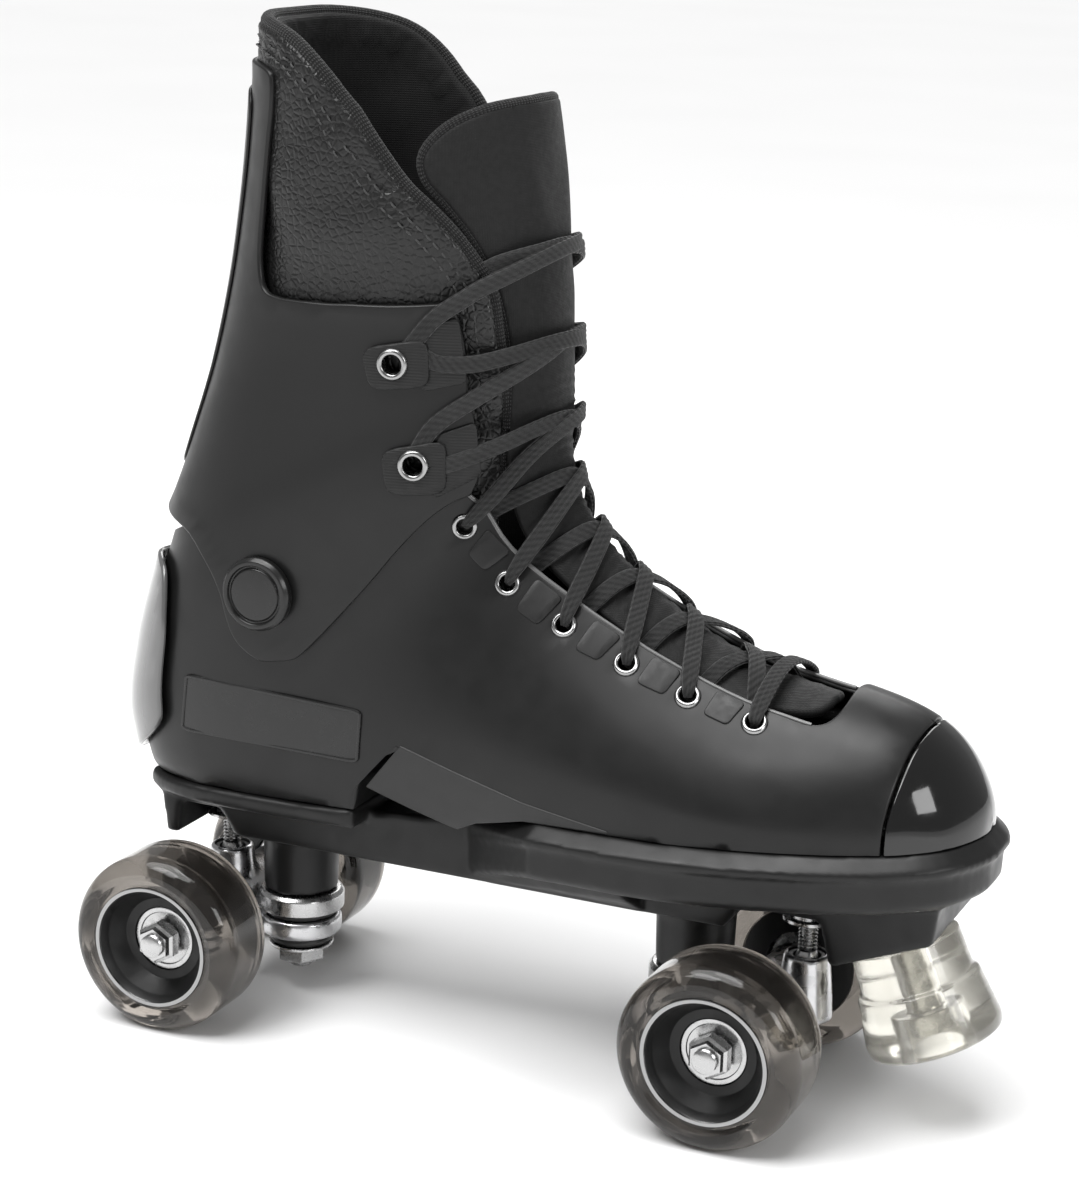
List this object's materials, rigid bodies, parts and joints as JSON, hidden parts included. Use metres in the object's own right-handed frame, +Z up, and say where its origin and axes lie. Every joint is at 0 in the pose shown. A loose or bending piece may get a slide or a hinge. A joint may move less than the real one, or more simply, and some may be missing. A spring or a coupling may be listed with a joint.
{
  "type": "quad roller skate",
  "caption": "Hard-shell quad roller skate with hinged cuff, padded liner, laces, moulded plate, steering trucks, free-rolling wheels and a toe stop.",
  "frame": {"origin": "on the floor under the centre of the bounding box", "axes": "+X to the toe, +Y to the left of the skate, +Z up"},
  "size_m": [0.3143, 0.1204, 0.3459],
  "materials": {
    "shell_plastic": "satin moulded black",
    "gloss_plastic_cap": "polished black",
    "bumper_plastic": "glossy grey",
    "insert_plastic": "matt charcoal",
    "rivet_plastic": "black with a polished ring",
    "tab_webbing": "matt black strap",
    "liner_leather": "grained black imitation leather",
    "tongue_fabric": "black textile",
    "lace_cord": "braided black",
    "plate_plastic": "satin moulded black",
    "stop_clear": "clear, slightly yellow",
    "hardware_steel": "bright zinc plated",
    "truck_metal": "polished plating",
    "cushion_rubber": "black",
    "tyre_urethane": "smoky translucent urethane",
    "hub_plastic": "glossy black"
  },
  "bodies": {
    "chassis": {"lower_shell": "shell_plastic", "toe_cap": "gloss_plastic_cap", "heel_bumper": "bumper_plastic", "arch_insert": "insert_plastic", "liner_foot": "liner_leather", "tongue_lower": "tongue_fabric", "lace_lower": "lace_cord", "ankle_rivet_right": "rivet_plastic", "ankle_rivet_left": "rivet_plastic", "baseplate": "plate_plastic", "toe_stop": "stop_clear", "toe_stop_bolt": "hardware_steel", "front_kingpin": "hardware_steel", "front_kingpin_nut": "hardware_steel", "front_cushion_upper": "cushion_rubber", "front_cushion_lower": "cushion_rubber", "front_retainer_upper": "truck_metal", "front_retainer_lower": "hardware_steel", "front_pivot_pin": "hardware_steel", "rear_kingpin": "hardware_steel", "rear_kingpin_nut": "hardware_steel", "rear_cushion_upper": "cushion_rubber", "rear_cushion_lower": "cushion_rubber", "rear_retainer_upper": "truck_metal", "rear_retainer_lower": "hardware_steel", "rear_pivot_pin": "hardware_steel"},
    "cuff_body": {"cuff": "shell_plastic", "liner_collar": "liner_leather", "tongue_upper": "tongue_fabric", "lace_upper": "lace_cord", "lace_tab_right_upper": "tab_webbing", "lace_tab_right_lower": "tab_webbing", "lace_tab_left_upper": "tab_webbing", "lace_tab_left_lower": "tab_webbing"},
    "front_truck": {"front_hanger": "truck_metal", "front_axle": "hardware_steel", "front_pivot_cup": "cushion_rubber", "front_right_axle_nut": "hardware_steel", "front_left_axle_nut": "hardware_steel"},
    "rear_truck": {"rear_hanger": "truck_metal", "rear_axle": "hardware_steel", "rear_pivot_cup": "cushion_rubber", "rear_right_axle_nut": "hardware_steel", "rear_left_axle_nut": "hardware_steel"},
    "front_right_wheel": {"front_right_tyre": "tyre_urethane", "front_right_hub": "hub_plastic", "front_right_bearing_inboard": "hardware_steel", "front_right_bearing_outboard": "hardware_steel"},
    "front_left_wheel": {"front_left_tyre": "tyre_urethane", "front_left_hub": "hub_plastic", "front_left_bearing_inboard": "hardware_steel", "front_left_bearing_outboard": "hardware_steel"},
    "rear_right_wheel": {"rear_right_tyre": "tyre_urethane", "rear_right_hub": "hub_plastic", "rear_right_bearing_inboard": "hardware_steel", "rear_right_bearing_outboard": "hardware_steel"},
    "rear_left_wheel": {"rear_left_tyre": "tyre_urethane", "rear_left_hub": "hub_plastic", "rear_left_bearing_inboard": "hardware_steel", "rear_left_bearing_outboard": "hardware_steel"}
  },
  "joints": [
    {"name": "front_truck_steer", "type": "hinge", "parent": "chassis", "child": "front_truck", "pos_m": [0.0526, 0, 0.0255], "axis": [0.8757, 0, 0.4828], "range_deg": [-8, 8], "stiffness_Nm_per_rad": 15, "deforming": ["front_cushion_upper", "front_cushion_lower"]},
    {"name": "front_right_wheel_spin", "type": "hinge", "parent": "front_truck", "child": "front_right_wheel", "pos_m": [0.0786, -0.04535, 0.031], "axis": [0, 1, 0], "continuous": true},
    {"name": "front_left_wheel_spin", "type": "hinge", "parent": "front_truck", "child": "front_left_wheel", "pos_m": [0.0786, 0.04535, 0.031], "axis": [0, 1, 0], "continuous": true},
    {"name": "rear_truck_steer", "type": "hinge", "parent": "chassis", "child": "rear_truck", "pos_m": [-0.0962, 0, 0.0255], "axis": [-0.7932, 0, 0.609], "range_deg": [-8, 8], "stiffness_Nm_per_rad": 15, "deforming": ["rear_cushion_upper", "rear_cushion_lower"]},
    {"name": "rear_right_wheel_spin", "type": "hinge", "parent": "rear_truck", "child": "rear_right_wheel", "pos_m": [-0.1222, -0.04535, 0.031], "axis": [0, 1, 0], "continuous": true},
    {"name": "rear_left_wheel_spin", "type": "hinge", "parent": "rear_truck", "child": "rear_left_wheel", "pos_m": [-0.1222, 0.04535, 0.031], "axis": [0, 1, 0], "continuous": true},
    {"name": "cuff_flex", "type": "hinge", "parent": "chassis", "child": "cuff_body", "pos_m": [-0.0881, 0, 0.157], "axis": [0, 1, 0], "range_deg": [-1.5, 5], "stiffness_Nm_per_rad": 8}
  ]
}
